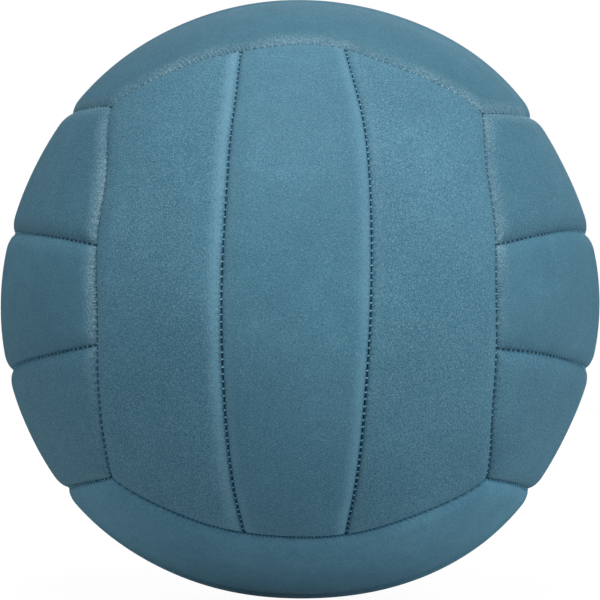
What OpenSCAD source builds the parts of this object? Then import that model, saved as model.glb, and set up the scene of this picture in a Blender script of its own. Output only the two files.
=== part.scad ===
// A volleyball with an eighteen-panel cover: six groups of three padded strips, sewn over
// a bladder. Each group is turned a quarter turn against its neighbours.

/* [Ball] */
// Diameter over the crowns of the panels
ball_d = 213; // [200:1:226]

/* [Panel layout] */
// Angle at the ball's centre from the middle of a group to its long edges
edge_angle = 38.3; // [37:0.1:40]
// Angle from the middle of a group to the seams between its strips
strip_angle = 12.9; // [11.5:0.1:14]
// Distance of a strip seam's ends from the group's middle, as a share of the ball's radius
tee_share = 0.159; // [0.14:0.001:0.18]

/* [Cover] */
// Thickness of the skin
skin_t = 1.2; // [0.8:0.1:1.6]
// Radius of the roll along a panel's edges
roll_r = 4; // [3.8:0.1:4.8]
// Depth to which a panel's edges are turned in along its seams
turned_h = 4.4; // [4:0.1:5]
// Gap between two panels in their seam
seam_gap = 0.3; // [0.2:0.05:0.5]

/* [Layers] */
// Gap between layers that lie on one another
layer_gap = 0.2; // [0.1:0.05:0.3]
// Thickness of the lining cloth
lining_t = 0.6; // [0.4:0.1:1]
// Thickness of the bladder's wall
bladder_t = 1; // [0.6:0.1:1.6]

/* [Stitching] */
// Thickness of the stitched run along a seam
thread_d = 0.9; // [0.6:0.1:1]
// Depth of the stitched run's middle below the crowns
thread_h = 1.6; // [1.4:0.1:2]

/* [Valve] */
// Diameter of the valve's neck
neck_d = 9; // [8:0.5:11]
// Depth of the valve's face below the crowns
face_h = 0.6; // [0.3:0.1:1.2]
// Reach of the neck inside the bladder
neck_reach = 9; // [6:0.5:14]
// Diameter of the flange that joins the neck to the bladder
flange_d = 26; // [20:1:32]
// Thickness of the flange
flange_t = 1.5; // [1:0.1:2]
// Diameter of the core that seals the neck
core_d = 5; // [4:0.1:6]
// Diameter of the lip at the core's outer end
lip_d = 6.6; // [6.2:0.1:7]
// Height of the lip
lip_h = 1.2; // [0.8:0.1:2]
// Diameter of the hole for the inflating needle
needle_d = 2.2; // [1.8:0.1:2.6]
// Length of the hole for the inflating needle
needle_h = 13; // [9:0.5:14]
// Diameter of the reinforcing disc round the neck
patch_d = 32; // [28:1:36]

/* [Hidden] */
$fn = 180;
// Overrun of every cut
over = 0.3;
// Width of the cuts that take away what lies beyond a seam
waste_w = 30;
// Angle about a seam's axis that such a cut covers
waste_turn = 200;
// How far the roll stands past the crown where they meet, as a share of its radius
crease_share = 0.06;
// Margin of a panel's blank round the panel, as a share of the ball's radius
blank_share = 0.045;

ball_r = ball_d / 2;
seam_inset = seam_gap / 2;
cover_under_r = ball_r - turned_h;
pad_inset = seam_inset + skin_t + layer_gap;
pad_top_r = ball_r - skin_t - layer_gap;
lining_r = cover_under_r - layer_gap;
bladder_r = lining_r - lining_t - layer_gap;
bladder_inner_r = bladder_r - bladder_t;
flange_r = bladder_inner_r - layer_gap;
face_r = ball_r - face_h;
neck_hole_d = neck_d + 2 * layer_gap;
roll_reach = roll_r * (1 - crease_share);
thread_run_r = ball_r - thread_h;

// Directions are written [along the strips, across them, outwards] in the frame of the
// top group. A seam is a small circle of the ball: [direction of its axis, cosine of the
// angle from the axis], and its panel lies on the axis's side.
corner_share = 1 / sqrt(3);

// Line through two points [across, outwards]: its unit normal and its distance
function line_through(p, q) =
    let (d = q - p, normal = [d[1], -d[0]] / norm(d))
    [normal, normal * p];

edge_line = line_through([corner_share, corner_share], [sin(edge_angle), cos(edge_angle)]);
edge_normal = edge_line[0];
edge_cos = edge_line[1];
tee_reach = sqrt(1 - tee_share * tee_share - edge_cos * edge_cos);
tee_along = edge_cos * edge_normal[1] + edge_normal[0] * tee_reach;
tee_out = edge_cos * edge_normal[0] - edge_normal[1] * tee_reach;
strip_line = line_through([tee_share, tee_out], [sin(strip_angle), cos(strip_angle)]);
strip_normal = strip_line[0];
strip_cos = strip_line[1];

// Seams as they limit a panel: the group's ends, and its long seams towards side -1 or 1
end_limits = [for (side = [-1, 1]) [[side * edge_normal[1], 0, edge_normal[0]], edge_cos]];
function edge_limit(side) = [[0, -side * edge_normal[0], -edge_normal[1]], -edge_cos];
function strip_limit(side) = [[0, -side * strip_normal[0], -strip_normal[1]], -strip_cos];
function far_strip_limit(side) = [-strip_limit(side)[0], -strip_limit(side)[1]];

// A strip is told by its place across the group: -1, 0 or 1
function limits_of(place) = concat(end_limits, place == 0
    ? [strip_limit(-1), strip_limit(1)]
    : [far_strip_limit(place), edge_limit(place)]);

// How far each strip's blank reaches across the group, as shares of the ball's radius
function reach_shares(place) = place == 0
    ? [-sin(strip_angle) - blank_share, sin(strip_angle) + blank_share]
    : [tee_share - blank_share, sin(edge_angle) + blank_share];

// Name, turn from the top group's frame, and the strips' names at places -1, 0 and 1
GROUPS = [
    ["front", [90, -90, 0], ["right", "middle", "left"]],
    ["back", [-90, -90, 0], ["left", "middle", "right"]],
    ["left", [-90, 0, 90], ["upper", "middle", "lower"]],
    ["right", [90, 0, 90], ["lower", "middle", "upper"]],
    ["top", [0, 0, 0], ["front", "middle", "back"]],
    ["bottom", [180, 0, 0], ["back", "middle", "front"]]
];
VALVE_GROUP = GROUPS[1];
PLACES = [-1, 0, 1];

function node_name(layer, group, place) = str(layer, "_", group[0], "_", group[2][place + 1]);
function holds_valve(group, place) = group == VALVE_GROUP && place == 0;

// Turns +Z to a seam's axis, with +X on the side where its panels lie
module along_axis(direction) {
    rotate([0, acos(direction[2]), atan2(direction[1], direction[0])])
    rotate(180)
        children();
}

// What lies beyond a seam, with the roll that it leaves along the panel's edge
module beyond(limit, inset, under_r, roll_centre_r) {
    roll_x = sqrt(pow(roll_centre_r, 2) - pow(roll_r, 2));
    inset_angle = inset / ball_r * 180 / PI;
    along_axis(limit[0])
    rotate(-waste_turn / 2)
    rotate_extrude(angle = waste_turn)
    rotate(90 - acos(limit[1]) + inset_angle)
        difference() {
            translate([under_r - waste_w, -waste_w])
                square([2 * waste_w, waste_w + roll_r]);
            translate([under_r - over - waste_w, over])
                square([waste_w, roll_r]);
            translate([roll_x, roll_r])
                circle(r = roll_r);
        }
}

// Shell between two radii, cut roughly to a strip's length and width
module blank(place, top_r, under_r) {
    half_l = ball_r * (cos(edge_angle) + blank_share);
    reach = ball_r * reach_shares(abs(place));
    intersection() {
        rotate([0, 90, 0])
            difference() {
                sphere(r = top_r);
                sphere(r = under_r);
            }
        rotate(place < 0 ? 180 : 0)
        translate([-half_l, reach[0], ball_r / 2])
            cube([2 * half_l, reach[1] - reach[0], ball_r]);
    }
}

// One layer of a strip: its blank less what lies beyond each of its seams
module strip(place, inset, top_r, under_r, roll_centre_r, seams = 4) {
    limits = limits_of(place);
    if (seams == 0)
        blank(place, top_r, under_r);
    else
        difference() {
            strip(place, inset, top_r, under_r, roll_centre_r, seams - 1);
            beyond(limits[seams - 1], inset, under_r, roll_centre_r);
        }
}

// Hole for the valve's neck, in the layers that it goes through
module neck_hole(d) {
    translate([0, 0, bladder_inner_r - over])
        cylinder(d = d, h = ball_r - bladder_inner_r + 2 * over);
}

module cover(group, place) {
    color("#5b8799")
    rotate(group[1])
        difference() {
            strip(place, seam_inset, ball_r, cover_under_r, ball_r - roll_reach);
            strip(place, seam_inset + skin_t, ball_r - skin_t, cover_under_r - over,
                ball_r - skin_t - roll_reach);
            if (holds_valve(group, place))
                neck_hole(neck_hole_d);
        }
}

module pad(group, place) {
    color("#e6dcc3")
    rotate(group[1])
        difference() {
            strip(place, pad_inset, pad_top_r, cover_under_r, pad_top_r - roll_reach);
            if (holds_valve(group, place))
                neck_hole(neck_hole_d);
        }
}

module lining(group, place) {
    color("#f0efe9")
    rotate(group[1])
        difference() {
            strip(place, seam_inset, lining_r, lining_r - lining_t, lining_r - lining_t / 2);
            if (holds_valve(group, place))
                neck_hole(patch_d + 2 * layer_gap);
        }
}

// Stitched run in a seam: it stops short of the seam's ends, which lie at along_share
module run_in(limit, along_share) {
    to_end = asin(along_share / sqrt(1 - limit[1] * limit[1]));
    half_turn = to_end - (thread_d + layer_gap) / thread_run_r * 180 / PI;
    along_axis(limit[0])
    rotate(-half_turn)
    rotate_extrude(angle = 2 * half_turn)
    translate(thread_run_r * [sin(acos(limit[1])), limit[1]])
        circle(d = thread_d);
}

// The runs between the groups, from corner to corner
module edge_seam_thread() {
    color("#c5cfd2")
    for (group = GROUPS, side = [-1, 1])
        rotate(group[1])
            run_in(edge_limit(side), corner_share);
}

// The runs between the strips of each group
module strip_seam_thread() {
    color("#c5cfd2")
    for (group = GROUPS, side = [-1, 1])
        rotate(group[1])
            run_in(strip_limit(side), tee_along);
}

module bladder() {
    color("#3a3a3c")
    difference() {
        sphere(r = bladder_r);
        sphere(r = bladder_inner_r);
        rotate(VALVE_GROUP[1])
            neck_hole(neck_hole_d);
    }
}

// Neck through the wall of the ball, with the flange bonded inside the bladder
module valve_housing() {
    inner_z = flange_r - neck_reach;
    color("#4a4a4d")
    rotate(VALVE_GROUP[1])
        difference() {
            union() {
                translate([0, 0, inner_z])
                    cylinder(d = neck_d, h = face_r - inner_z);
                intersection() {
                    difference() {
                        sphere(r = flange_r);
                        sphere(r = flange_r - flange_t);
                    }
                    cylinder(d = flange_d, h = ball_r);
                }
            }
            translate([0, 0, inner_z - over])
                cylinder(d = core_d + 2 * layer_gap, h = face_r - inner_z + 2 * over);
            translate([0, 0, face_r - lip_h - layer_gap])
                cylinder(d = lip_d + 2 * layer_gap, h = lip_h + layer_gap + over);
        }
}

// Rubber plug with a blind hole that closes behind the needle
module valve_core() {
    inner_z = flange_r - neck_reach;
    color("#2b2b2d")
    rotate(VALVE_GROUP[1])
        difference() {
            union() {
                translate([0, 0, inner_z])
                    cylinder(d = core_d, h = face_r - inner_z);
                translate([0, 0, face_r - lip_h])
                    cylinder(d = lip_d, h = lip_h);
            }
            translate([0, 0, face_r - needle_h])
                cylinder(d = needle_d, h = needle_h + over);
        }
}

// Disc let into the lining round the neck
module valve_patch() {
    color("#8d8f92")
    rotate(VALVE_GROUP[1])
        difference() {
            intersection() {
                rotate([0, 90, 0])
                    difference() {
                        sphere(r = lining_r);
                        sphere(r = lining_r - lining_t);
                    }
                cylinder(d = patch_d, h = ball_r);
            }
            neck_hole(neck_hole_d);
        }
}

for (group = GROUPS, place = PLACES) {
    cover(group, place);
    pad(group, place);
    lining(group, place);
}
edge_seam_thread();
strip_seam_thread();
bladder();
valve_housing();
valve_core();
valve_patch();
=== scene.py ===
import math

import bpy
import numpy as np
from mathutils import Euler, Matrix


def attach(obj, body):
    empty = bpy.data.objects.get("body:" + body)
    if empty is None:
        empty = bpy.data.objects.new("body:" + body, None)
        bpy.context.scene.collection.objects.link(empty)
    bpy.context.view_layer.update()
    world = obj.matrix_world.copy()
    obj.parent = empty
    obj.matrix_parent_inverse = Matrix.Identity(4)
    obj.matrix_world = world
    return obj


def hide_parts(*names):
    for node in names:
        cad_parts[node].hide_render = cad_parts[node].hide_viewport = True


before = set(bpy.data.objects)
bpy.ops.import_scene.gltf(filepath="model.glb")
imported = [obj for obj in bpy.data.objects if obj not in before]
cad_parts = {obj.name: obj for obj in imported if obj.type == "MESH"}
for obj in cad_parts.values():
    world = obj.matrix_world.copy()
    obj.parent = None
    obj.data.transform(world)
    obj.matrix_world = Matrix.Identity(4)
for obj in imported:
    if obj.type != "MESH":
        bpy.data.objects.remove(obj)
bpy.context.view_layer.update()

# Lengths in the dictionaries are millimetres, as in the part's source; meshes are in metres
mm = 0.001
tiny = 1e-9  # keeps what is divided by from being nothing

# One set of directions serves every group of three strips: along the strips, across them, and outwards
ball = {
    "radius": 106.5,
    "edgeAngle": 38.3,  # from the middle of a group to its long edges
    "stripAngle": 12.9,  # from the middle of a group to the seams between its strips
    "teeShare": 0.159,  # how far a strip seam's ends lie from the group's middle, as a share of the radius
    "digits": 6,  # that a planned seam's plane is rounded to
    "turns": {
        "front": (90, -90, 0),
        "back": (-90, -90, 0),
        "left": (-90, 0, 90),
        "right": (90, 0, 90),
        "top": (0, 0, 0),
        "bottom": (180, 0, 0),
    },
    "strips": {
        "front": ("right", "middle", "left"),
        "back": ("left", "middle", "right"),
        "left": ("upper", "middle", "lower"),
        "right": ("lower", "middle", "upper"),
        "top": ("front", "middle", "back"),
        "bottom": ("back", "middle", "front"),
    },
    "valveGroup": "back",
}

# Where the seams of this ball were sewn, a little off the plan: pixels across and down the photograph, at
# the joints of three panels and at spots along each seam. "limb" is how far the cover stands out, every 15
# degrees round the ball as the camera sees it
sewing = {
    "picture": 600,
    "joints": {
        "topLeft": (110.6, 105.8),
        "topRight": (484.0, 113.3),
        "bottomLeft": (111.5, 477.9),
        "bottomRight": (487.1, 478.9),
        "topInnerLeft": (239.5, 51.7),
        "topInnerRight": (342.1, 47.5),
        "bottomInnerLeft": (243.3, 532.4),
        "bottomInnerRight": (345.9, 534.4),
        "leftUpper": (95.7, 246.6),
        "leftLower": (97.2, 345.5),
        "rightUpper": (496.5, 245.8),
        "rightLower": (496.9, 349.4),
    },
    "seams": {
        "frontLeft": ((106.5, 150), (102.3, 200), (96.2, 300), (98.7, 400), (103.7, 440)),
        "frontRight": ((485.6, 150), (492.5, 200), (496.7, 300), (493.9, 400), (491.0, 440)),
        "innerLeft": ((237.6, 80), (232.1, 120), (225.6, 200), (221.3, 300), (224.0, 400), (235.7, 500)),
        "innerRight": ((353.5, 80), (363.6, 120), (371.0, 200), (371.4, 300), (365.3, 400), (353.2, 500)),
        "top": (
            (140.7, 85.4), (158.6, 77.3), (185.4, 65.7), (212.1, 55.9), (299.9, 43.3), (363.9, 55.4),
            (397.4, 66.8), (433.8, 82.2), (464.4, 98.9),
        ),
        "bottom": ((180, 514.5), (210, 525.9), (300, 537.4), (389.9, 524.5), (420, 513.0)),
        "leftUpper": ((55, 237.1), (80, 241.7)),
        "leftLower": ((55, 353.6), (80, 348.0)),
        "rightUpper": ((520, 239.2), (545, 234.0), (569.95, 229.75)),
        "rightLower": ((520, 351.0), (545, 354.8)),
        "sideCorners": ((73.4, 111), (528.9, 116.5), (68.1, 488.5), (528.7, 489.4)),
        "sideEnds": ((15, 232.3), (11.6, 371.1), (585.95, 232.85), (587, 369.3)),
    },
    "depth": 1.6,  # of the seams' middles, where the camera sees those places
    "decimals": 3,  # a photograph gives a direction no closer
    "step": 0.5,  # spacing of the planned spots that they are matched with
    "reach": 0.22,  # how far round a spot the sewing follows it
    "ease": 0.05,  # how loosely it does
    "limb": (
        0.07, -0.69, -1.05, 0.45, 0.81, 0.32, 0.28, 0.27, 0.12, -0.32, -1.24, -1.15,
        -0.50, -0.07, 0.28, 0.88, 0.46, -0.21, -0.73, 0.21, 1.38, 1.10, -0.42, -0.25,
    ),
    "limbTilt": 0.129,  # the limb seen by the camera lies a little nearer than the middle of the ball
    "limbReach": 0.34,  # how far round those places the bulging spreads
    "soft": (2.0, 4.4),  # depths between which that bulging dies away
}


# Camera

view = {
    "distance": 830.7,
    "turn": (-1.63, 0.09, -0.76),  # of the ball before the camera, in degrees
    "lens": 139.26,
    "sensor": 36,
    "shift": (0.0011, 0.0010),
    "clip": (0.01, 50),  # metres
}


def turned(angles):
    return Euler([math.radians(a) for a in angles]).to_matrix()


def makeCamera():
    cameraData = bpy.data.cameras.new("camera")
    cameraData.lens = view["lens"]
    cameraData.sensor_width = view["sensor"]
    cameraData.shift_x, cameraData.shift_y = view["shift"]
    cameraData.clip_start, cameraData.clip_end = view["clip"]
    camera = bpy.data.objects.new("camera", cameraData)
    bpy.context.scene.collection.objects.link(camera)
    turnBack = turned(view["turn"]).inverted().to_4x4()
    level = turned((90, 0, 0)).to_4x4()
    camera.matrix_world = turnBack @ Matrix.Translation((0, -view["distance"] * mm, 0)) @ level
    bpy.context.scene.camera = camera


makeCamera()
bpy.context.scene.view_settings.view_transform = "Standard"
print("camera placed")


# Seams. A seam is a plane (along, across, outwards, offset) that cuts the ball, and its panel is on the
# positive side. The planned ones follow from the layout's angles, rounded as OpenSCAD prints them

def lineThrough(first, second):
    run = np.subtract(second, first)
    across, out = np.array((run[1], -run[0])) / np.linalg.norm(run)
    return across, out, across * first[0] + out * first[1]


def planSeams():
    corner = 1 / math.sqrt(3)  # three groups meet where all directions are alike
    edge, strip = math.radians(ball["edgeAngle"]), math.radians(ball["stripAngle"])
    edgeLine = lineThrough((corner, corner), (math.sin(edge), math.cos(edge)))
    across, out, offset = edgeLine
    teeReach = math.sqrt(1 - ball["teeShare"] ** 2 - offset ** 2)
    tee = ball["teeShare"], offset * across - out * teeReach
    lines = {"edgeSeam": edgeLine, "stripSeam": lineThrough(tee, (math.sin(strip), math.cos(strip)))}
    return {kind: [float(f"{value:.{ball['digits']}g}") for value in line] for kind, line in lines.items()}


plan = planSeams()


def endSeam(side):
    across, out, offset = plan["edgeSeam"]
    return np.array((side * out, 0, across, offset))


def sideSeam(kind, side):
    across, out, offset = plan[kind]
    return np.array((0, -side * across, -out, -offset))


def sideSeams(place):
    if place == 0:
        return sideSeam("stripSeam", -1), sideSeam("stripSeam", 1)
    if place > 0:
        return -sideSeam("stripSeam", 1), sideSeam("edgeSeam", 1)
    return sideSeam("edgeSeam", -1), -sideSeam("stripSeam", -1)


def inset(seam, distance):
    moved = seam.copy()
    moved[3] = math.cos(math.acos(seam[3]) - distance / ball["radius"])
    return moved


def meet(rows, columns):
    rowBase, rowSlope = (rows[:, 3] / rows[:, 0])[:, None], (-rows[:, 2] / rows[:, 0])[:, None]
    columnBase, columnSlope = (columns[:, 3] / columns[:, 1])[None], (-columns[:, 2] / columns[:, 1])[None]
    a = 1 + rowSlope ** 2 + columnSlope ** 2
    b = rowBase * rowSlope + columnBase * columnSlope
    c = rowBase ** 2 + columnBase ** 2 - 1
    out = (-b + np.sqrt(b * b - a * c)) / a
    return np.stack([rowBase + rowSlope * out, columnBase + columnSlope * out, out], axis=-1)


def unit(vectors):
    return vectors / np.linalg.norm(vectors, axis=-1, keepdims=True)


def turnOf(group):
    return np.array(turned(ball["turns"][group]))


def pull(points, spots, reach):
    return np.exp(-(2 - 2 * points @ spots.T) / reach ** 2)


def traced(places):
    across, down = (np.array(places) / sewing["picture"] - 0.5).T
    scale = view["sensor"] / view["lens"]
    right, up = (across + view["shift"][0]) * scale, (view["shift"][1] - down) * scale
    rays = unit(np.stack([right, np.ones(len(right)), up], axis=1))
    eye = np.array((0, -view["distance"], 0))
    ahead = -rays @ eye
    clear = ahead ** 2 - eye @ eye + (ball["radius"] - sewing["depth"]) ** 2
    seen = eye + rays * (ahead - np.sqrt(np.clip(clear, 0, None)))[:, None]
    directions = unit(seen) @ np.array(turned(view["turn"]))
    return unit(directions.round(sewing["decimals"]))


def plannedSpots():
    ends = np.array([endSeam(-1), endSeam(1)])
    sides = np.array([sideSeam(kind, side) for kind in plan for side in (-1, 1)])
    rows = fanRows(ends[0], ends[1], 0, (0,), (0,), sewing["step"])["planes"]
    joints = list(sewing["joints"].values())
    spots = [spot for seam in sewing["seams"].values() for spot in seam]
    planned = []
    for places, planes in ((joints, ends), (spots, rows)):
        met = meet(planes, sides).reshape(-1, 3)
        lines = np.concatenate([met @ turnOf(group).T for group in ball["turns"]])
        sewn = traced(places)
        nearest = lines[(sewn @ lines.T).argmax(axis=1)]
        planned.append(np.hstack([nearest, sewn - nearest]))
    nearest, shifts = np.split(np.concatenate(planned), 2, axis=1)
    held = pull(nearest, nearest, sewing["reach"]) + sewing["ease"] * np.eye(len(nearest))
    return nearest, np.linalg.solve(held, shifts)


def limbSpots():
    heights = np.array(sewing["limb"])
    angles = np.arange(len(heights)) * 2 * math.pi / len(heights)
    tilt = np.full(len(angles), -sewing["limbTilt"])
    spots = unit(np.stack([np.cos(angles), tilt, np.sin(angles)], axis=1))
    return spots, np.linalg.solve(pull(spots, spots, sewing["limbReach"]), heights)


def sew(directions, group):
    flat = directions.reshape(-1, 3) @ turnOf(group).T
    spots, pulls = sewnSpots
    return unit(flat + pull(flat, spots, sewing["reach"]) @ pulls).reshape(directions.shape)


def sunk(directions, depth):
    spots, heights = bulges
    first, last = sewing["soft"]
    share = np.clip((last - depth) / (last - first), 0, 1)
    return ball["radius"] - depth + share * (pull(directions, spots, sewing["limbReach"]) @ heights)


# Rows of a panel's grid run beside its seams at set distances, and fan out evenly between them

def fanRows(first, last, axis, firstDistances, lastDistances, step):
    angles, planes = [], []
    for seam, side, distances in ((first, -1, firstDistances), (last, 1, lastDistances)):
        middle = math.atan2(seam[axis], seam[2])
        moved = [inset(seam, d) for d in distances]
        angles.append([middle + side * math.acos(plane[3]) for plane in moved])
        planes.append(moved)
    turn = step / ball["radius"]
    count = range(math.ceil(angles[0][-1] / turn + 0.5), math.floor(angles[1][-1] / turn - 0.5) + 1)
    fan, between = [], []
    for k in count:
        point = np.zeros(4)
        point[axis], point[2], point[3] = math.sin(k * turn), math.cos(k * turn), -1
        toFirst, toLast = planes[0][-1] @ point, planes[1][-1] @ point
        share = toFirst / (toFirst + toLast)
        fan.append((1 - share) * planes[0][-1] - share * planes[1][-1])
        between.append(k * turn)
    allAngles = np.array(angles[0] + between + angles[1][::-1])
    starts = allAngles - angles[0][0], angles[1][0] - allAngles
    gaps = np.array(list(firstDistances) + [0] * len(fan) + list(lastDistances)[::-1], float)
    nearest = firstDistances[0] + ball["radius"] * np.minimum(*starts)
    gaps = np.where(gaps > 0, gaps, nearest)
    normals = np.where((starts[0] < starts[1])[:, None], first[None, :3], last[None, :3])
    allPlanes = np.array(planes[0] + fan + planes[1][::-1])
    return {"planes": allPlanes, "angles": allAngles, "gaps": gaps, "normals": normals}


def edgeDepths(rows, firstDepths, lastDepths):
    edge = np.zeros(len(rows["gaps"]))
    edge[: len(firstDepths)] = firstDepths
    edge[len(edge) - len(lastDepths):] = lastDepths[::-1]
    return edge


def cornerTurned(points, rows, columns, reach):
    a = np.clip(reach - rows["gaps"], 0, None)[:, None]
    b = np.clip(reach - columns["gaps"], 0, None)[None]
    longer, diagonal = np.maximum(a, b), np.hypot(a, b)
    share = np.where((a > 0) & (b > 0), 1 - longer / np.maximum(diagonal, tiny), 0)
    moved = points.copy()
    for amount, normal in ((a * share, rows["normals"][:, None]), (b * share, columns["normals"][None])):
        away = normal - (normal * points).sum(-1, keepdims=True) * points
        moved += unit(away) * amount[..., None] / ball["radius"]
    return unit(moved)


def roundHole(points, rows, columns, hole):
    a = ball["radius"] * rows["angles"][:, None]
    b = ball["radius"] * columns["angles"][None]
    square, circle = np.maximum(abs(a), abs(b)), np.hypot(a, b)
    fade = np.clip((hole["fade"] - square) / (hole["fade"] - hole["radius"]), 0, 1)
    fade = fade * fade * (3 - 2 * fade)
    scale = 1 + fade * (square / np.maximum(circle, tiny) - 1)
    moved = points.copy()
    moved[..., :2] *= scale[..., None]
    moved[..., 2] = np.sqrt(1 - (moved[..., :2] ** 2).sum(-1))
    return moved


grid = {
    "wall": 0.1,  # before its points are placed
    "blend": 5,  # how sharply the depths at two seams blend where they meet
}


def surface(group, place, side, step, hole):
    first, last = sideSeams(place)
    ends = side["edgeSeam"]
    left = side["edgeSeam" if place < 0 else "stripSeam"]
    right = side["edgeSeam" if place > 0 else "stripSeam"]
    rows = fanRows(endSeam(-1), endSeam(1), 0, ends["distances"], ends["distances"], step)
    columns = fanRows(first, last, 1, left["distances"], right["distances"], step)
    points = cornerTurned(meet(rows["planes"], columns["planes"]), rows, columns, side["corner"])
    if hole:
        points = roundHole(points, rows, columns, hole)
    power = grid["blend"]
    a = edgeDepths(rows, ends["depths"], ends["depths"])[:, None]
    b = edgeDepths(columns, left["depths"], right["depths"])[None]
    depth = side["base"] + np.minimum((a ** power + b ** power) ** (1 / power), max(ends["depths"]))
    directions = sew(points, group)
    return directions * sunk(directions, depth)[..., None] * mm, rows, columns


def edgeGaps(columns, place):
    if place == 0:
        return np.full(len(columns["gaps"]), ball["radius"])
    spread = ball["radius"] * (columns["angles"] - columns["angles"][-1 if place > 0 else 0])
    return cover["wall"]["edgeSeam"][0][0] + abs(spread)


# Painted highlight on the strip flanks that face the key light, read across each strip
def paintedFlankLight(group, place, columns):
    light = np.zeros(len(columns["angles"]))
    outerFlank, middleFlank, farFlank = cover["flankHighlight"].get(group, (0, 0, 0))
    for side, edge, amount in ((-1, 0, outerFlank if place else middleFlank), (1, -1, farFlank)):
        if place != side:
            across = ball["radius"] * abs(columns["angles"] - columns["angles"][edge])
            light += amount * np.interp(across, *zip(*cover["flankHighlightSpread"]))
    return light


# Real wear mixed with painted sheen on the shoulders that catch the light, less on the lower half
def seamWearAndSheen(group, gaps, heights):
    wearAndSheen = cover["wearAndSheen"]
    near, far = wearAndSheen["near"], wearAndSheen["far"]
    amount = cover["cloth"][group][2] * np.clip(1 + wearAndSheen["fall"] * heights, wearAndSheen["least"], 1)
    return amount * np.clip(gaps / near, 0, 1) * np.clip((far - gaps) / (far - near), 0, 1) ** wearAndSheen["power"]


# Painted shade in the seams' creases, less of it upwards
def paintedSeamShade(heights):
    level, fall, most = cover["seamShade"]
    return np.clip(level - fall * heights, 0, most)


def activate(piece):
    bpy.ops.object.select_all(action="DESELECT")
    piece.select_set(True)
    bpy.context.view_layer.objects.active = piece


def layUp(name, group, place, outer, inner, step, hole=None):
    top, rows, columns = surface(group, place, outer, step, hole)
    under = surface(group, place, inner, step, hole)[0]
    rowCount, columnCount = len(rows["gaps"]), len(columns["gaps"])
    bpy.ops.object.select_all(action="DESELECT")
    bpy.ops.mesh.primitive_grid_add(x_subdivisions=rowCount - 1, y_subdivisions=columnCount - 1, size=2)
    piece = bpy.context.object
    piece.name = piece.data.name = name
    if hole:
        cutHole(piece, rows, columns, hole)
    wall = piece.modifiers.new("wall", "SOLIDIFY")
    wall.thickness = grid["wall"]
    wall.offset = -1
    bpy.ops.object.modifier_apply(modifier=wall.name)
    count = len(piece.data.vertices)
    flat = np.empty(count * 3)
    piece.data.vertices.foreach_get("co", flat)
    flat = flat.reshape(-1, 3)
    i = np.rint((flat[:, 0] + 1) / 2 * (rowCount - 1)).astype(int)
    j = np.rint((flat[:, 1] + 1) / 2 * (columnCount - 1)).astype(int)
    shaped = np.where(flat[:, 2:] > -grid["wall"] / 2, top[i, j], under[i, j])
    piece.data.vertices.foreach_set("co", shaped.ravel())
    heights = shaped[:, 2] / (ball["radius"] * mm)
    toneAndShade, speckle, _ = cover["cloth"][group]
    toneAndShade *= cover["paintedStripShade"].get(name.split("_")[-1], 1)
    speckle *= 1 if place else cover["middleSpeckle"]
    nearest = np.minimum(rows["gaps"][i], edgeGaps(columns, place)[j])
    spots = {
        "endGap": rows["gaps"][i],
        "sideGap": columns["gaps"][j],
        "wearAndSheen": seamWearAndSheen(group, nearest, heights),
        "seamShade": paintedSeamShade(heights),
        "toneAndShade": np.full(count, toneAndShade),
        "flankHighlight": paintedFlankLight(group, place, columns)[j],
        "speckle": np.full(count, speckle),
        "along": rows["angles"][i] * ball["radius"],
        "across": columns["angles"][j] * ball["radius"],
    }
    for spot, values in spots.items():
        layer = piece.data.attributes.new(spot, "FLOAT", "POINT")
        layer.data.foreach_set("value", values.astype(np.float32))
    piece.data.update()
    activate(piece)
    bpy.ops.object.shade_smooth()
    return piece


def cutHole(piece, rows, columns, hole):
    spread = [ball["radius"] * lines["angles"] for lines in (rows, columns)]
    bpy.ops.object.mode_set(mode="EDIT")
    bpy.ops.mesh.select_mode(type="FACE")
    bpy.ops.mesh.select_all(action="DESELECT")
    bpy.ops.object.mode_set(mode="OBJECT")
    for face in piece.data.polygons:
        places = [(at + 1) / 2 * (len(lines) - 1) for at, lines in zip(face.center, spread)]
        away = [abs(np.interp(at, range(len(lines)), lines)) for at, lines in zip(places, spread)]
        face.select = max(away) < hole["radius"]
    bpy.ops.object.mode_set(mode="EDIT")
    bpy.ops.mesh.delete(type="FACE")
    bpy.ops.object.mode_set(mode="OBJECT")


sewnSpots, bulges = plannedSpots(), limbSpots()


# Cover panels

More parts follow.
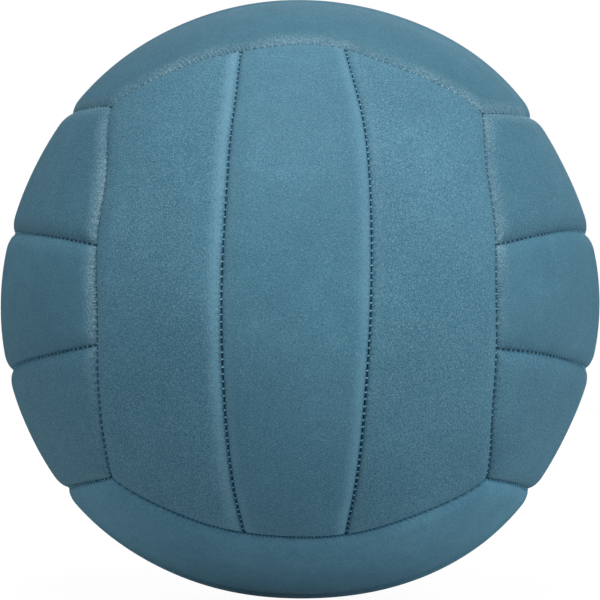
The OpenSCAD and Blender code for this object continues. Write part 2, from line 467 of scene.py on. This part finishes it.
cover = {
    "wall": {
        "edgeSeam": ((0.07, 4.4), (0.08, 3.4), (0.09, 2.7), (0.14, 2.15)),
        "stripSeam": ((0.08, 4.4), (0.09, 3.4), (0.11, 2.7), (0.16, 2.15)),
    },
    "steps": (0.30, 0.44, 0.64, 0.90, 1.25, 1.7, 2.3, 3.0, 3.8, 4.8, 6.0, 7.6, 9.6, 12),
    # Rise and reach of the lip, the shoulder and the crown
    "rolls": ((0.45, 2.0), (1.50, 6.0), (0.15, 15)),
    "skin": 1.2,
    "corner": 0.9,
    "step": 2.35,
    "hole": {"radius": 4.7, "fade": 14},
    "fill": 0.85,
    # Wear and painted sheen on the shoulders: its distances from the seam, how it fades on the lower half,
    # away from the light, and the least left there, and how fast it thins away from the seam
    "wearAndSheen": {"near": 0.35, "far": 5.8, "fall": 1.4, "least": 0.3, "power": 1.5},
    "seamShade": (0.25, 0.8, 0.9),  # painted shade in the seams: its share at mid height, what it loses upwards, and the most of it
    # How each group's cloth was cut and used: its tone, which also holds painted shade on the side and top
    # groups and painted bounce light on the bottom one, its speckle, and the wear and painted sheen on its
    # shoulders
    "cloth": {
        "front": (1.00, 1.38, 0.15),
        "back": (1.00, 1.38, 0.15),
        "left": (0.90, 1.05, 1.25),
        "right": (0.90, 1.05, 1.00),
        "top": (0.82, 0.70, 1.20),
        "bottom": (1.25, 0.70, 0.35),
    },
    # Painted shade across the side groups' strips: the upper strip darker, the lower lighter
    "paintedStripShade": {"upper": 0.93, "lower": 1.06},
    "middleSpeckle": 0.68,
    # Painted highlight along the strip seams, where flanks face the key light: on the outer strip's flank
    # and the middle strip's that face one way, and on the flanks across the seams from those; and how that
    # changes away from them
    "flankHighlight": {"front": (0.20, 0.15, 0.08), "back": (0.10, 0.07, 0.04)},
    "flankHighlightSpread": ((0.2, 0), (1.0, 0.85), (2.0, 1), (3.2, 0.6), (5.0, 0.05), (6.4, 0)),
}


def rollDepth(distance):
    return sum(rise * max(0, 1 - distance / reach) ** 2 for rise, reach in cover["rolls"])


def coverFaces():
    steps, skin, last = cover["steps"], cover["skin"], cover["steps"][-1]
    outside, inside = [{"base": base, "corner": cover["corner"] + base} for base in (0, skin)]
    for kind, wall in cover["wall"].items():
        start = wall[-1][0]
        shares = [(x - start) / (last - start) for x in (start,) + steps]
        turnedIn = [start + skin + share * (last - start - skin) for share in shares]
        bottom, top, turns = wall[0][1] - skin, rollDepth(turnedIn[0]), len(wall) - 1
        flank = [(x + skin, bottom + (top - bottom) * k / turns) for k, (x, _) in enumerate(wall[:turns])]
        outside[kind] = seamSide(list(wall) + [(x, rollDepth(x)) for x in steps])
        inside[kind] = seamSide(flank + [(x, rollDepth(x)) for x in turnedIn])
    return outside, inside


def seamSide(pairs):
    return {"distances": [x for x, _ in pairs], "depths": [depth for _, depth in pairs]}


def panels():
    for group, names in ball["strips"].items():
        for place, name in zip((-1, 0, 1), names):
            yield group, place, f"{group}_{name}", group == ball["valveGroup"] and place == 0


def makeCovers():
    outer, inner = coverFaces()
    pieces = []
    for group, place, name, holdsValve in panels():
        hole = cover["hole"] if holdsValve else None
        piece = layUp(f"coverPanel_{name}", group, place, outer, inner, cover["step"], hole)
        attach(piece, "root")
        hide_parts(f"cover_{name}")
        pieces.append(piece)
    return pieces


coverPanels = makeCovers()
print("cover panels laid up")


# Foam pads under the covers, and the cloth bonded under each

pad = {
    "steps": (2.4, 3.6, 5.5, 9, 14),
    "wall": ((1.66, 2.85), (1.68, 2.3), (1.72, 1.9)),
    "top": 1.4,
    "under": 4.4,
    "corner": 3,
    "step": 4.7,
    "hole": {"radius": 4.7, "fade": 14},
    "fill": 0.9,
}
lining = {
    "distances": (0.3, 1.2, 4),
    "top": 4.6,
    "thick": 0.6,
    "corner": 1.6,
    "step": 5.65,
    "hole": {"radius": 16.95, "fade": 20},
}


def makePads():
    pairs = list(pad["wall"]) + [(x, rollDepth(x)) for x in pad["steps"]]
    top, under = [{"base": base, "corner": pad["corner"]} for base in (pad["top"], pad["under"])]
    for kind in cover["wall"]:
        top[kind] = seamSide(pairs)
        under[kind] = seamSide([(x, 0) for x, _ in pairs])
    pieces = []
    for group, place, name, holdsValve in panels():
        hole = pad["hole"] if holdsValve else None
        piece = layUp(f"foamPad_{name}", group, place, top, under, pad["step"], hole)
        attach(piece, "root")
        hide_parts(f"pad_{name}")
        pieces.append(piece)
    return pieces


def makeLinings():
    flat = seamSide([(x, 0) for x in lining["distances"]])
    faces = [{"base": base, "corner": lining["corner"], "edgeSeam": flat, "stripSeam": flat}
             for base in (lining["top"], lining["top"] + lining["thick"])]
    pieces = []
    for group, place, name, holdsValve in panels():
        hole = lining["hole"] if holdsValve else None
        piece = layUp(f"liningCloth_{name}", group, place, *faces, lining["step"], hole)
        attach(piece, "root")
        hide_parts(f"lining_{name}")
        pieces.append(piece)
    return pieces


foamPads = makePads()
liningCloths = makeLinings()
print("pads and linings laid up")


# Stitching: a thread lies along each seam, and short stitches cross it

stitching = {
    "pitch": 2.35,
    "depth": {
        "edgeSeam": {"front": 2.15, "back": 2.15, "left": 2.1, "right": 2.1, "top": 1.95, "bottom": 2.3},
        "stripSeam": {"front": 1.9, "back": 1.9, "left": 2.1, "right": 2.1, "top": 1.98, "bottom": 1.98},
    },
    "runDepth": 3.0,
    "runRadius": 0.05,
    "length": 0.7,
    "thick": (0.26, 0.20),  # half its width and half its height
    "sides": 6,
    "cuts": (-0.25, 0, 0.25),  # shares of its length
    "taper": 0.25,
    "arch": 0.16,
    "lean": 9,
    "scatter": 0.05,  # of its lean in radians, and of its place along the seam
    "uneven": 0.06,  # how far a stitch may lie in or out
    "endGap": 1.0,
    "step": 2,
    "aim": 0.5,  # how far ahead and behind the seam's direction is read
}


def makeStitch():
    length = stitching["length"]
    bpy.ops.object.select_all(action="DESELECT")
    bpy.ops.mesh.primitive_cylinder_add(
        vertices=stitching["sides"], radius=1, depth=length, rotation=(math.radians(90), 0, 0))
    stitch = bpy.context.object
    bpy.ops.object.transform_apply(location=False, rotation=True, scale=False)
    bpy.ops.object.mode_set(mode="EDIT")
    for cut in stitching["cuts"]:
        bpy.ops.mesh.select_all(action="SELECT")
        bpy.ops.mesh.bisect(plane_co=(0, cut * length, 0), plane_no=(0, 1, 0))
    bpy.ops.mesh.select_all(action="SELECT")
    bpy.ops.transform.resize(value=(stitching["thick"][0], 1, stitching["thick"][1]))
    bpy.ops.object.mode_set(mode="OBJECT")
    for vertex in stitch.data.vertices:
        share = 2 * vertex.co.y / length
        vertex.co.x *= 1 - stitching["taper"] * share ** 2
        vertex.co.z += stitching["arch"] * (1 - share ** 2)
    corners = np.array([vertex.co for vertex in stitch.data.vertices])
    faces = [list(face.vertices) for face in stitch.data.polygons]
    bpy.data.objects.remove(stitch)
    return corners, faces


def seamLine(group, kind, side, depth):
    endGap = (stitching["endGap"],)
    rows = fanRows(endSeam(-1), endSeam(1), 0, endGap, endGap, stitching["step"])
    line = sew(meet(rows["planes"], sideSeam(kind, side)[None])[:, 0], group)
    return line * sunk(line, depth)[:, None]


def pointsOn(line, lengths, stops):
    return np.stack([np.interp(stops, lengths, line[:, k]) for k in range(3)], axis=1)


def spaced(line, pitch):
    lengths = np.concatenate([[0], np.cumsum(np.linalg.norm(np.diff(line, axis=0), axis=1))])
    count = int(lengths[-1] / pitch)
    stops = (np.arange(count) + 0.5) * lengths[-1] / count
    behind, points, ahead = [pointsOn(line, lengths, stops + k * stitching["aim"]) for k in (-1, 0, 1)]
    return points, unit(ahead - behind), lengths[-1]


def makeRun(name, lines):
    curve = bpy.data.curves.new(name, "CURVE")
    curve.dimensions = "3D"
    curve.bevel_depth = stitching["runRadius"] * mm
    curve.bevel_resolution = 1
    curve.use_fill_caps = True
    for line in lines:
        spline = curve.splines.new("POLY")
        spline.points.add(len(line) - 1)
        spline.points.foreach_set("co", np.hstack([line * mm, np.ones((len(line), 1))]).ravel())
    run = bpy.data.objects.new(name, curve)
    bpy.context.scene.collection.objects.link(run)
    activate(run)
    bpy.ops.object.convert(target="MESH")
    return bpy.context.object


def makeStitching(name, kind, node):
    stitchCorners, stitchFaces = makeStitch()
    chance = np.random.default_rng(len(name))
    corners, faces, total = [], [], 0
    for group in ball["turns"]:
        for side in (-1, 1):
            line = seamLine(group, kind, side, stitching["depth"][kind][group])
            points, ahead, length = spaced(line, stitching["pitch"])
            total += length
            for point, along in zip(points, ahead):
                out = unit(point)
                across = np.cross(out, along)
                lean = math.radians(stitching["lean"]) + chance.normal(0, stitching["scatter"])
                leaning = along * math.cos(lean) + across * math.sin(lean)
                place = np.array((leaning, np.cross(out, leaning), out))
                point = point + along * chance.normal(0, stitching["scatter"])
                point = point + out * chance.normal(0, stitching["uneven"])
                first = len(corners) * len(stitchCorners)
                corners.append((stitchCorners @ place + point) * mm)
                faces += [[first + k for k in face] for face in stitchFaces]
    mesh = bpy.data.meshes.new(name)
    mesh.from_pydata(np.concatenate(corners).tolist(), [], faces)
    piece = bpy.data.objects.new(name, mesh)
    bpy.context.scene.collection.objects.link(piece)
    seams = [(group, kind, side) for group in ball["turns"] for side in (-1, 1)]
    run = makeRun(name + "Run", [seamLine(*seam, stitching["runDepth"]) for seam in seams])
    activate(piece)
    run.select_set(True)
    bpy.ops.object.join()
    bpy.ops.object.shade_smooth()
    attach(piece, "root")
    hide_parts(node)
    print(f"{name}: {len(corners)} stitches on {total * mm:.2f} m of seam")
    return piece


threads = [
    makeStitching("edgeSeamStitching", "edgeSeam", "edge_seam_thread"),
    makeStitching("stripSeamStitching", "stripSeam", "strip_seam_thread"),
]


# Cloth disc that backs the valve

patch = {
    "hole": 4.7,
    "rings": (6.5, 9, 11.5, 14, 16),
    "sides": 48,
    "top": 4.6,
    "thick": 0.6,
}


def makePatch():
    bpy.ops.object.select_all(action="DESELECT")
    bpy.ops.mesh.primitive_circle_add(vertices=patch["sides"], radius=patch["hole"])
    piece = bpy.context.object
    piece.name = piece.data.name = "valvePatchCloth"
    bpy.ops.object.mode_set(mode="EDIT")
    bpy.ops.mesh.select_mode(type="VERT")
    bpy.ops.mesh.select_all(action="SELECT")
    radius = patch["hole"]
    for ring in patch["rings"]:
        bpy.ops.mesh.extrude_region_move()
        bpy.ops.transform.resize(value=(ring / radius, ring / radius, 1), center_override=(0, 0, 0))
        radius = ring
    bpy.ops.object.mode_set(mode="OBJECT")
    wall = piece.modifiers.new("wall", "SOLIDIFY")
    wall.thickness = patch["thick"]
    bpy.ops.object.modifier_apply(modifier=wall.name)
    turn = turnOf(ball["valveGroup"])
    heights = [vertex.co.z for vertex in piece.data.vertices]
    middle = (max(heights) + min(heights)) / 2
    for vertex in piece.data.vertices:
        reach = math.hypot(vertex.co.x, vertex.co.y)
        angle = reach / (ball["radius"] - patch["top"])
        depth = patch["top"] if vertex.co.z > middle else patch["top"] + patch["thick"]
        share = math.sin(angle) / reach
        spot = np.array((vertex.co.x * share, vertex.co.y * share, math.cos(angle)))
        vertex.co = turn @ spot * (ball["radius"] - depth) * mm
    bpy.ops.object.mode_set(mode="EDIT")
    bpy.ops.mesh.select_all(action="SELECT")
    bpy.ops.mesh.normals_make_consistent(inside=False)
    bpy.ops.object.mode_set(mode="OBJECT")
    bpy.ops.object.shade_smooth()
    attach(piece, "root")
    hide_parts("valve_patch")
    return piece


valvePatch = makePatch()
print("valve patch made")


# Materials. Three groups of nodes serve them: fine flecks, wide mottling and a weave

patterns = {
    "flecks": {"detail": 1.5, "rough": 0.6, "lightest": 0.74, "dark": (0.46, 0.30)},
    "mottle": {"detail": 4, "rough": 0.55, "edges": (0.35, 0.65)},
    "weave": {"detail": 1, "distortion": 0.4},
}


def newGroup(name, inputs, outputs):
    group = bpy.data.node_groups.new(name, "ShaderNodeTree")
    for way, sockets in (("INPUT", inputs), ("OUTPUT", outputs)):
        for socket, kind in sockets.items():
            group.interface.new_socket(socket, in_out=way, socket_type=f"NodeSocket{kind}")
    return group, group.nodes.new("NodeGroupInput").outputs


def addNode(tree, kind, values=None, **settings):
    made = tree.nodes.new(kind)
    for name, value in settings.items():
        setattr(made, name, value)
    for socket, value in (values or {}).items():
        if isinstance(value, bpy.types.NodeSocket):
            tree.links.new(value, made.inputs[socket])
        else:
            made.inputs[socket].default_value = value
    return made


def mixColor(tree, share, first, second):
    return addNode(tree, "ShaderNodeMix", {0: share, 6: first, 7: second}, data_type="RGBA").outputs[2]


def mapRange(tree, value, low, high, start=0, end=1):
    made = addNode(tree, "ShaderNodeMapRange", {
        "Value": value, "From Min": low, "From Max": high, "To Min": start, "To Max": end,
    })
    return made.outputs["Result"]


def compute(tree, operation, first, second):
    return addNode(tree, "ShaderNodeMath", {0: first, 1: second}, operation=operation).outputs["Value"]


def addNoise(tree, place, scale, look):
    values = {"Vector": place, "Scale": scale, "Detail": look["detail"], "Roughness": look["rough"]}
    return addNode(tree, "ShaderNodeTexNoise", values).outputs["Fac"]


def makeFlecks():
    look = patterns["flecks"]
    group, given = newGroup(
        "flecks",
        {"Vector": "Vector", "Scale": "Float", "Cover": "Float"},
        {"Light": "Float", "Dark": "Float", "Height": "Float"},
    )
    fine = addNoise(group, given["Vector"], given["Scale"], look)
    light = mapRange(group, fine, given["Cover"], look["lightest"])
    dark = mapRange(group, fine, *look["dark"])
    addNode(group, "NodeGroupOutput", {"Light": light, "Dark": dark, "Height": fine})
    return group


def makeMottle():
    look = patterns["mottle"]
    group, given = newGroup(
        "mottle",
        {"Vector": "Vector", "Scale": "Float", "Color": "Color", "Shade": "Color", "Amount": "Float"},
        {"Color": "Color", "Mask": "Float"},
    )
    mask = mapRange(group, addNoise(group, given["Vector"], given["Scale"], look), *look["edges"])
    share = compute(group, "MULTIPLY", mask, given["Amount"])
    color = mixColor(group, share, given["Color"], given["Shade"])
    addNode(group, "NodeGroupOutput", {"Color": color, "Mask": mask})
    return group


def makeWeave():
    look = patterns["weave"]
    group, given = newGroup(
        "weave",
        {"Vector": "Vector", "Scale": "Float"},
        {"Mask": "Float", "Height": "Float"},
    )
    values = {
        "Vector": given["Vector"], "Scale": given["Scale"], "Detail": look["detail"],
        "Distortion": look["distortion"],
    }
    waves = [addNode(group, "ShaderNodeTexWave", values, bands_direction=way) for way in ("X", "Y")]
    warp, weft = [wave.outputs["Fac"] for wave in waves]
    mask, height = compute(group, "MULTIPLY", warp, weft), compute(group, "MAXIMUM", warp, weft)
    addNode(group, "NodeGroupOutput", {"Mask": mask, "Height": height})
    return group


groups = {"flecks": makeFlecks(), "mottle": makeMottle(), "weave": makeWeave()}


def useGroup(tree, name, values):
    return addNode(tree, "ShaderNodeGroup", values, node_tree=groups[name]).outputs


def mottled(tree, place, scale, color, shade, amount):
    return useGroup(tree, "mottle", {
        "Vector": place, "Scale": scale, "Color": color, "Shade": (*shade, 1), "Amount": amount,
    })


def attribute(tree, name):
    return addNode(tree, "ShaderNodeAttribute", attribute_name=name).outputs["Fac"]


def newMaterial(name, look, values):
    material = bpy.data.materials.new(name)
    material.use_nodes = True
    material.diffuse_color = (*look, 1)
    tree = material.node_tree
    shader = tree.nodes["Principled BSDF"]
    for socket, value in values.items():
        shader.inputs[socket].default_value = value
    place = tree.nodes.new("ShaderNodeTexCoord").outputs["Object"]
    return material, tree, shader, place


def addBump(tree, shader, height, strength, distance):
    bump = addNode(tree, "ShaderNodeBump", {"Height": height, "Strength": strength, "Distance": distance})
    tree.links.new(bump.outputs["Normal"], shader.inputs["Normal"])


skin = {
    "color": (0.084, 0.227, 0.319),
    "shade": (0.060, 0.173, 0.251),
    # light flecks of the cloth's grain, partly painted glints
    "fleckAndGlint": (0.28, 0.42, 0.49),
    "pit": (0.030, 0.115, 0.180),
    # worn cloth, and painted sheen on the lit shoulders
    "wearAndSheen": (0.30, 0.48, 0.57),
    # painted highlight colour for the flanks that face the key light
    "flankHighlight": (0.31, 0.58, 0.74),
    # painted shade in the seams' creases
    "paintedSeamShade": (0.006, 0.074, 0.145),
    "patches": (28, 0.8),  # scale and share of the shade
    "clouds": (150, 0.50),
    "fleckScale": 2200,
    "fleckCover": 0.52,
    "fleckAndGlintAmount": 0.34,
    "pitAmount": 0.72,
    "wearAndSheenAmount": (0.14, 0.60),  # plain share, and share of the flecks
    "wearAndSheenHeights": (0.44, 0.66),  # of the flecks that the wear and the painted sheen take
    "wearAndSheenPatches": {"scale": 40, "detail": 2, "rough": 0.5, "edges": (0.38, 0.62), "shares": (0.45, 1.2)},
    "seamShadeReach": (0.95, 0.35),  # from the seam
    "seamShadePuckers": (-0.5, 0.5, 1.1, 0.5),  # heights of the puckers, and shares of the painted shade there
    "pucker": (2.4, 0.3, 0.8),  # distances from the seam between which it rises, and its height
    "roughness": (0.62, 0.48),  # in the pits and on the flecks
    "roughHeights": (0.35, 0.65),
    "rimRoughness": 0.38,  # added where the cloth turns away
    "specular": 0.13,
    "grain": 0.00010,
}


def makePuckers(tree, endGap, sideGap):
    far, near, rise = skin["pucker"]
    puckers = []
    for run, distance in (("across", endGap), ("along", sideGap)):
        turns = compute(tree, "MULTIPLY", attribute(tree, run), 2 * math.pi / stitching["pitch"])
        wave = compute(tree, "COSINE", turns, 0)
        puckers.append(compute(tree, "MULTIPLY", wave, mapRange(tree, distance, far, near, 0, rise)))
    return puckers


def speckled(tree, flecks, color):
    speckle = attribute(tree, "speckle")
    # Light flecks, partly painted glints, and dark pits of the grain
    for marks, amount, tint in (("Light", "fleckAndGlintAmount", "fleckAndGlint"), ("Dark", "pitAmount", "pit")):
        share = compute(tree, "MULTIPLY", compute(tree, "MULTIPLY", flecks[marks], skin[amount]), speckle)
        color = mixColor(tree, share, color, (*skin[tint], 1))
    return color


def wornAndSheenShare(tree, place, flecks):
    patches = skin["wearAndSheenPatches"]
    patchy = addNoise(tree, place, patches["scale"], patches)
    patchy = mapRange(tree, patchy, *patches["edges"], *patches["shares"])
    plainShare, fleckShare = skin["wearAndSheenAmount"]
    rubbed = mapRange(tree, flecks["Height"], *skin["wearAndSheenHeights"], plainShare, plainShare + fleckShare)
    return compute(tree, "MULTIPLY", compute(tree, "MULTIPLY", attribute(tree, "wearAndSheen"), patchy), rubbed)


def makeCoverSkin():
    material, tree, shader, place = newMaterial("coverSkin", skin["color"], {
        "Specular IOR Level": skin["specular"],
    })
    scale, amount = skin["patches"]
    patches = mottled(tree, place, scale, (*skin["color"], 1), skin["shade"], amount)
    scale, amount = skin["clouds"]
    clouds = mottled(tree, place, scale, patches["Color"], skin["shade"], amount)
    flecks = useGroup(tree, "flecks", {
        "Vector": place, "Scale": skin["fleckScale"], "Cover": skin["fleckCover"],
    })
    color = speckled(tree, flecks, clouds["Color"])
    # Paints the highlight on the strip flanks that face the key light
    color = mixColor(tree, attribute(tree, "flankHighlight"), color, (*skin["flankHighlight"], 1))
    # Paints wear and sheen on the shoulders
    color = mixColor(tree, wornAndSheenShare(tree, place, flecks), color, (*skin["wearAndSheen"], 1))
    endGap, sideGap = attribute(tree, "endGap"), attribute(tree, "sideGap")
    puckers = compute(tree, "ADD", *makePuckers(tree, endGap, sideGap))
    gap = compute(tree, "MINIMUM", endGap, sideGap)
    # Paints shade into the creases along the seams and into the dips of the puckers
    seamShade = compute(tree, "MULTIPLY", attribute(tree, "seamShade"), mapRange(tree, gap, *skin["seamShadeReach"]))
    seamShade = compute(tree, "MULTIPLY", seamShade, mapRange(tree, puckers, *skin["seamShadePuckers"]))
    color = mixColor(tree, seamShade, color, (*skin["paintedSeamShade"], 1))
    # Tone with painted light and shade in it, per group and per strip
    toneAndShade = attribute(tree, "toneAndShade")
    tonedAndShaded = addNode(tree, "ShaderNodeVectorMath", {0: color, 1: toneAndShade}, operation="MULTIPLY")
    tree.links.new(tonedAndShaded.outputs["Vector"], shader.inputs["Base Color"])
    rim = addNode(tree, "ShaderNodeLayerWeight").outputs["Facing"]
    dull = compute(tree, "MULTIPLY", compute(tree, "MULTIPLY", rim, rim), skin["rimRoughness"])
    rough = mapRange(tree, flecks["Height"], *skin["roughHeights"], *skin["roughness"])
    tree.links.new(compute(tree, "ADD", rough, dull), shader.inputs["Roughness"])
    addBump(tree, shader, compute(tree, "ADD", puckers, flecks["Height"]), 1, skin["grain"])
    return material


plain = {
    "specular": 0.4,
    "roughSpread": 0.1,
    "cover": 0.5,
    "padFoam": {
        "color": (0.72, 0.66, 0.50), "shade": (0.62, 0.55, 0.38), "scale": 60, "rough": 0.9,
        "grain": 0.0003, "grainScale": 900,
    },
    "bladderRubber": {
        "color": (0.018, 0.018, 0.020), "shade": (0.034, 0.033, 0.032), "scale": 25, "rough": 0.45,
        "grain": 0.00005, "grainScale": 300,
    },
    "valveRubber": {
        "color": (0.022, 0.023, 0.025), "shade": (0.036, 0.036, 0.037), "scale": 120, "rough": 0.5,
        "grain": 0.00004, "grainScale": 1500,
    },
    "coreRubber": {
        "color": (0.030, 0.031, 0.034), "shade": (0.052, 0.052, 0.052), "scale": 200, "rough": 0.55,
        "grain": 0.00004, "grainScale": 2000,
    },
}


def makePlain(name):
    look = plain[name]
    material, tree, shader, place = newMaterial(name, look["color"], {
        "Specular IOR Level": plain["specular"],
    })
    patches = mottled(tree, place, look["scale"], (*look["color"], 1), look["shade"], 1)
    tree.links.new(patches["Color"], shader.inputs["Base Color"])
    rough = mapRange(tree, patches["Mask"], 0, 1, look["rough"], look["rough"] + plain["roughSpread"])
    tree.links.new(rough, shader.inputs["Roughness"])
    grain = useGroup(tree, "flecks", {
        "Vector": place, "Scale": look["grainScale"], "Cover": plain["cover"],
    })
    addBump(tree, shader, grain["Height"], 1, look["grain"])
    return material


woven = {
    "specular": 0.25,
    "rough": 0.75,
    "sheen": (0.25, 0.4),  # its weight and its roughness
    "patches": (90, 0.4),
    "gapShade": 0.5,  # how far the shade shows between the threads
    "bump": (0.6, 0.0001),
    "liningCloth": {"color": (0.78, 0.77, 0.72), "shade": (0.60, 0.59, 0.54), "scale": 700},
    "patchCloth": {"color": (0.30, 0.31, 0.32), "shade": (0.18, 0.19, 0.20), "scale": 600},
    "seamThread": {"color": (0.27, 0.60, 0.76), "shade": (0.13, 0.41, 0.58), "scale": 1600},
}


def makeWoven(name):
    look = woven[name]
    sheen, sheenRough = woven["sheen"]
    material, tree, shader, place = newMaterial(name, look["color"], {
        "Specular IOR Level": woven["specular"], "Roughness": woven["rough"],
        "Sheen Weight": sheen, "Sheen Roughness": sheenRough,
    })
    weave = useGroup(tree, "weave", {"Vector": place, "Scale": look["scale"]})
    scale, amount = woven["patches"]
    patches = mottled(tree, place, scale, (*look["color"], 1), look["shade"], amount)
    between = mapRange(tree, weave["Mask"], 0, 1, woven["gapShade"], 0)
    color = mixColor(tree, between, patches["Color"], (*look["shade"], 1))
    tree.links.new(color, shader.inputs["Base Color"])
    addBump(tree, shader, weave["Height"], *woven["bump"])
    return material


def dress(pieces, material):
    for piece in pieces:
        piece.data.materials.clear()
        piece.data.materials.append(material)


def dressNode(name, material):
    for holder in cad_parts[name].material_slots:
        holder.material = material


dress(coverPanels, makeCoverSkin())
dress(foamPads, makePlain("padFoam"))
dress(liningCloths, makeWoven("liningCloth"))
dress(threads, makeWoven("seamThread"))
dress([valvePatch], makeWoven("patchCloth"))
dressNode("bladder", makePlain("bladderRubber"))
dressNode("valve_housing", makePlain("valveRubber"))
dressNode("valve_core", makePlain("coreRubber"))
print("materials made")


# Studio

studio = {
    "floorSize": 6,
    "floorColor": (0.54, 0.54, 0.54, 1),
    "floorGlow": 1.09,
    # How much of the lit paper shows under the ball, and the distances, in metres, between which that fades
    "floorShadow": (0.12, 0.15, 0.60),
    "ambient": 0.03,
    "white": (1, 1, 1, 1),
    "lamps": {
        "topLamp": {"place": (0, -0.58, 1.60), "size": 0.8, "power": 13.6, "color": (1, 0.94, 0.91)},
        "frontLamp": {"place": (0, -1.14, 1.26), "size": 0.8, "power": 6.6, "color": (1, 0.95, 0.93)},
        "rightLamp": {"place": (1.06, -1.06, 0.80), "size": 0.8, "power": 11.2, "color": (0.95, 1, 1)},
        "leftLamp": {"place": (-1.06, -1.06, 0.80), "size": 0.8, "power": 5.6, "color": (0.93, 1, 1)},
        "backLamp": {"place": (0.1, 1.60, 0.55), "size": 1.0, "power": 16, "color": (1, 1, 1)},
        "sideLamp": {"place": (1.64, -0.44, 0.15), "size": 0.8, "power": 7, "color": (0.94, 1, 1)},
    },
}


def aim(piece, place):
    direction = np.array(place)
    back = unit(direction)
    side = unit(np.cross((0, 0, 1), back))
    up = np.cross(back, side)
    rows = [[side[k], up[k], back[k], direction[k]] for k in range(3)]
    piece.matrix_world = Matrix(rows + [[0, 0, 0, 1]])


def seenWhite(tree):
    path = addNode(tree, "ShaderNodeLightPath")
    seen = compute(tree, "MAXIMUM", path.outputs["Is Camera Ray"], path.outputs["Is Glossy Ray"])
    return compute(tree, "MAXIMUM", seen, path.outputs["Is Transmission Ray"])


def makeStudio():
    bpy.ops.object.select_all(action="DESELECT")
    bpy.ops.mesh.primitive_plane_add(size=studio["floorSize"], location=(0, 0, -ball["radius"] * mm))
    floor = bpy.context.object
    floor.name = "floor"
    material = bpy.data.materials.new("floorPaper")
    material.use_nodes = True
    tree = material.node_tree
    tree.nodes.clear()
    share, near, far = studio["floorShadow"]
    place = addNode(tree, "ShaderNodeTexCoord").outputs["Object"]
    distance = addNode(tree, "ShaderNodeVectorMath", {0: place}, operation="LENGTH").outputs["Value"]
    glow = compute(tree, "MULTIPLY", seenWhite(tree), mapRange(tree, distance, near, far, 1 - share, 1))
    paper = addNode(tree, "ShaderNodeBsdfDiffuse", {"Color": studio["floorColor"]})
    white = addNode(tree, "ShaderNodeEmission", {"Color": studio["white"], "Strength": studio["floorGlow"]})
    mixed = addNode(tree, "ShaderNodeMixShader", {0: glow, 1: paper.outputs[0], 2: white.outputs[0]})
    addNode(tree, "ShaderNodeOutputMaterial", {"Surface": mixed.outputs[0]})
    floor.data.materials.append(material)
    world = bpy.data.worlds.new("studio")
    bpy.context.scene.world = world
    world.use_nodes = True
    tree = world.node_tree
    tree.nodes.clear()
    soft = addNode(tree, "ShaderNodeBackground", {"Color": studio["white"], "Strength": studio["ambient"]})
    white = addNode(tree, "ShaderNodeBackground", {"Color": studio["white"], "Strength": 1})
    seen = seenWhite(tree)
    mixed = addNode(tree, "ShaderNodeMixShader", {0: seen, 1: soft.outputs[0], 2: white.outputs[0]})
    addNode(tree, "ShaderNodeOutputWorld", {"Surface": mixed.outputs[0]})
    for name, lamp in studio["lamps"].items():
        data = bpy.data.lights.new(name, "AREA")
        data.size = lamp["size"]
        data.energy = lamp["power"]
        data.color = lamp["color"]
        light = bpy.data.objects.new(name, data)
        bpy.context.scene.collection.objects.link(light)
        aim(light, lamp["place"])
        light.visible_camera = False


makeStudio()
print("studio lit")
